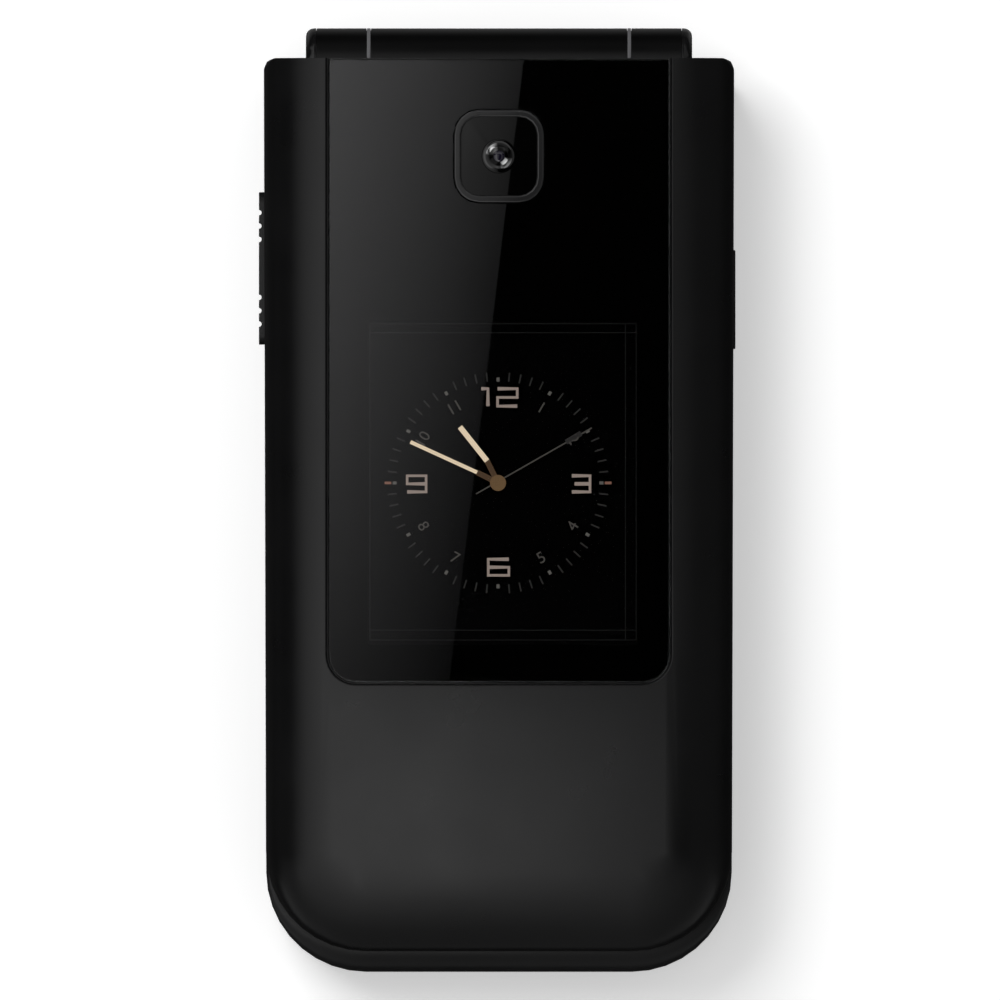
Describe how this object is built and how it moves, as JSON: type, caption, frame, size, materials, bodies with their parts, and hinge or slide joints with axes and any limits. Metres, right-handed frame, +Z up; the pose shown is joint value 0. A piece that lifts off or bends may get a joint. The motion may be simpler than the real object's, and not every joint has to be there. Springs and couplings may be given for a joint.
{
  "type": "flip phone",
  "caption": "Closed clamshell mobile phone with a window over an outer clock display and camera, a full keypad, a hinged lid and a sliding battery cover.",
  "frame": {"origin": "on the back face that the phone lies on, midway between the free end and the crown of the hinge barrel, on the centre line", "axes": "+X across the phone to the side button, +Y along it to the hinge, +Z up through the closed lid"},
  "size_m": [0.0534, 0.1058, 0.0191],
  "materials": {
    "soft_touch": "soft-touch black paint over moulded plastic",
    "lid_frame": "satin black moulded plastic",
    "keypad_face": "satin black moulded plastic",
    "rear_plastic": "fine textured black plastic",
    "cover_plastic": "soft-touch black plastic",
    "gloss_black": "polished black plastic",
    "side_plastic": "satin black plastic",
    "key_plastic": "satin black keys with pale numbers",
    "nav_metal": "satin plated ring",
    "window_glass": "polished tinted acrylic",
    "inner_glass": "polished acrylic with a black border",
    "lens_glass": "polished clear lens",
    "bezel_metal": "dark satin ring",
    "display_black": "display panel",
    "battery_wrap": "printed wrap, plain",
    "dark_plastic": "moulded black plastic",
    "circuit_board": "solder-masked board",
    "tinned_steel": "tinned sheet steel",
    "screw_steel": "zinc-plated steel",
    "hinge_steel": "oiled steel",
    "gold_metal": "gold-plated can",
    "antenna_copper": "copper foil on a carrier",
    "clear_film": "polyester film",
    "silicone": "moulded silicone",
    "flex_film": "polyimide film with copper",
    "bumper_rubber": "soft rubber",
    "washer_nylon": "moulded grey nylon"
  },
  "bodies": {
    "base": {"base_front_shell": "keypad_face", "base_rear_shell": "rear_plastic", "battery": "battery_wrap", "battery_connector": "dark_plastic", "main_board": "circuit_board", "shield_cans": "tinned_steel", "dome_sheet": "clear_film", "keypad_membrane": "silicone", "sim_holder": "tinned_steel", "usb_socket": "tinned_steel", "headphone_socket": "dark_plastic", "microphone": "gold_metal", "loudspeaker": "dark_plastic", "vibration_motor": "tinned_steel", "antenna": "antenna_copper", "base_screws": "screw_steel", "hinge_cam_shaft": "hinge_steel", "hinge_bush": "dark_plastic", "knuckle_caps": "gloss_black", "hinge_flex_base": "flex_film"},
    "lid": {"lid_outer_shell": "soft_touch", "lid_inner_shell": "lid_frame", "outer_window": "window_glass", "camera_bezel": "bezel_metal", "camera_lens": "lens_glass", "camera_module": "dark_plastic", "outer_display": "display_black", "main_display": "display_black", "inner_window": "inner_glass", "lid_board": "circuit_board", "earpiece": "dark_plastic", "earpiece_grille": "screw_steel", "lid_magnet": "tinned_steel", "lid_bumpers": "bumper_rubber", "lid_screws": "screw_steel", "hinge_housing": "hinge_steel", "hinge_spring": "hinge_steel", "hinge_washers": "washer_nylon", "hinge_flex_lid": "flex_film"},
    "key_1": {"key_1": "key_plastic"},
    "key_2": {"key_2": "key_plastic"},
    "key_3": {"key_3": "key_plastic"},
    "key_4": {"key_4": "key_plastic"},
    "key_5": {"key_5": "key_plastic"},
    "key_6": {"key_6": "key_plastic"},
    "key_7": {"key_7": "key_plastic"},
    "key_8": {"key_8": "key_plastic"},
    "key_9": {"key_9": "key_plastic"},
    "key_star": {"key_star": "key_plastic"},
    "key_0": {"key_0": "key_plastic"},
    "key_hash": {"key_hash": "key_plastic"},
    "ok_key": {"ok_key": "key_plastic"},
    "left_soft_key": {"left_soft_key": "key_plastic"},
    "right_soft_key": {"right_soft_key": "key_plastic"},
    "call_key": {"call_key": "key_plastic"},
    "end_key": {"end_key": "key_plastic"},
    "nav_ring": {"nav_ring": "nav_metal"},
    "volume_rocker": {"volume_rocker": "side_plastic"},
    "side_button": {"side_button": "side_plastic"},
    "battery_cover": {"battery_cover": "cover_plastic"}
  },
  "joints": [
    {"name": "lid_hinge", "type": "hinge", "parent": "base", "child": "lid", "pos_m": [0, 0.0488, 0.0105], "axis": [-1, 0, 0], "range_deg": [0, 160]},
    {"name": "key_1_press", "type": "slide", "parent": "base", "child": "key_1", "axis": [0, 0, -1], "range_m": [0, 0.0003], "stiffness_N_per_m": 600, "springref_m": -0.0002},
    {"name": "key_2_press", "type": "slide", "parent": "base", "child": "key_2", "axis": [0, 0, -1], "range_m": [0, 0.0003], "stiffness_N_per_m": 600, "springref_m": -0.0002},
    {"name": "key_3_press", "type": "slide", "parent": "base", "child": "key_3", "axis": [0, 0, -1], "range_m": [0, 0.0003], "stiffness_N_per_m": 600, "springref_m": -0.0002},
    {"name": "key_4_press", "type": "slide", "parent": "base", "child": "key_4", "axis": [0, 0, -1], "range_m": [0, 0.0003], "stiffness_N_per_m": 600, "springref_m": -0.0002},
    {"name": "key_5_press", "type": "slide", "parent": "base", "child": "key_5", "axis": [0, 0, -1], "range_m": [0, 0.0003], "stiffness_N_per_m": 600, "springref_m": -0.0002},
    {"name": "key_6_press", "type": "slide", "parent": "base", "child": "key_6", "axis": [0, 0, -1], "range_m": [0, 0.0003], "stiffness_N_per_m": 600, "springref_m": -0.0002},
    {"name": "key_7_press", "type": "slide", "parent": "base", "child": "key_7", "axis": [0, 0, -1], "range_m": [0, 0.0003], "stiffness_N_per_m": 600, "springref_m": -0.0002},
    {"name": "key_8_press", "type": "slide", "parent": "base", "child": "key_8", "axis": [0, 0, -1], "range_m": [0, 0.0003], "stiffness_N_per_m": 600, "springref_m": -0.0002},
    {"name": "key_9_press", "type": "slide", "parent": "base", "child": "key_9", "axis": [0, 0, -1], "range_m": [0, 0.0003], "stiffness_N_per_m": 600, "springref_m": -0.0002},
    {"name": "key_star_press", "type": "slide", "parent": "base", "child": "key_star", "axis": [0, 0, -1], "range_m": [0, 0.0003], "stiffness_N_per_m": 600, "springref_m": -0.0002},
    {"name": "key_0_press", "type": "slide", "parent": "base", "child": "key_0", "axis": [0, 0, -1], "range_m": [0, 0.0003], "stiffness_N_per_m": 600, "springref_m": -0.0002},
    {"name": "key_hash_press", "type": "slide", "parent": "base", "child": "key_hash", "axis": [0, 0, -1], "range_m": [0, 0.0003], "stiffness_N_per_m": 600, "springref_m": -0.0002},
    {"name": "ok_key_press", "type": "slide", "parent": "base", "child": "ok_key", "axis": [0, 0, -1], "range_m": [0, 0.0003], "stiffness_N_per_m": 600, "springref_m": -0.0002},
    {"name": "left_soft_key_press", "type": "slide", "parent": "base", "child": "left_soft_key", "axis": [0, 0, -1], "range_m": [0, 0.0003], "stiffness_N_per_m": 600, "springref_m": -0.0002},
    {"name": "right_soft_key_press", "type": "slide", "parent": "base", "child": "right_soft_key", "axis": [0, 0, -1], "range_m": [0, 0.0003], "stiffness_N_per_m": 600, "springref_m": -0.0002},
    {"name": "call_key_press", "type": "slide", "parent": "base", "child": "call_key", "axis": [0, 0, -1], "range_m": [0, 0.0003], "stiffness_N_per_m": 600, "springref_m": -0.0002},
    {"name": "end_key_press", "type": "slide", "parent": "base", "child": "end_key", "axis": [0, 0, -1], "range_m": [0, 0.0003], "stiffness_N_per_m": 600, "springref_m": -0.0002},
    {"name": "nav_rock", "type": "hinge", "parent": "base", "child": "nav_ring", "pos_m": [0, 0.0175, 0.0086], "axis": [1, 0, 0], "range_deg": [-1.2, 1.2], "stiffness_Nm_per_rad": 0.05},
    {"name": "volume_rock", "type": "hinge", "parent": "base", "child": "volume_rocker", "pos_m": [-0.0245, 0.026, 0.0074], "axis": [0, 0, 1], "range_deg": [-1.8, 1.8], "stiffness_Nm_per_rad": 0.03},
    {"name": "side_button_press", "type": "slide", "parent": "base", "child": "side_button", "axis": [-1, 0, 0], "range_m": [0, 0.0002], "stiffness_N_per_m": 600, "springref_m": -0.0002},
    {"name": "cover_slide", "type": "slide", "parent": "base", "child": "battery_cover", "axis": [0, -1, 0], "range_m": [0, 0.006]}
  ]
}
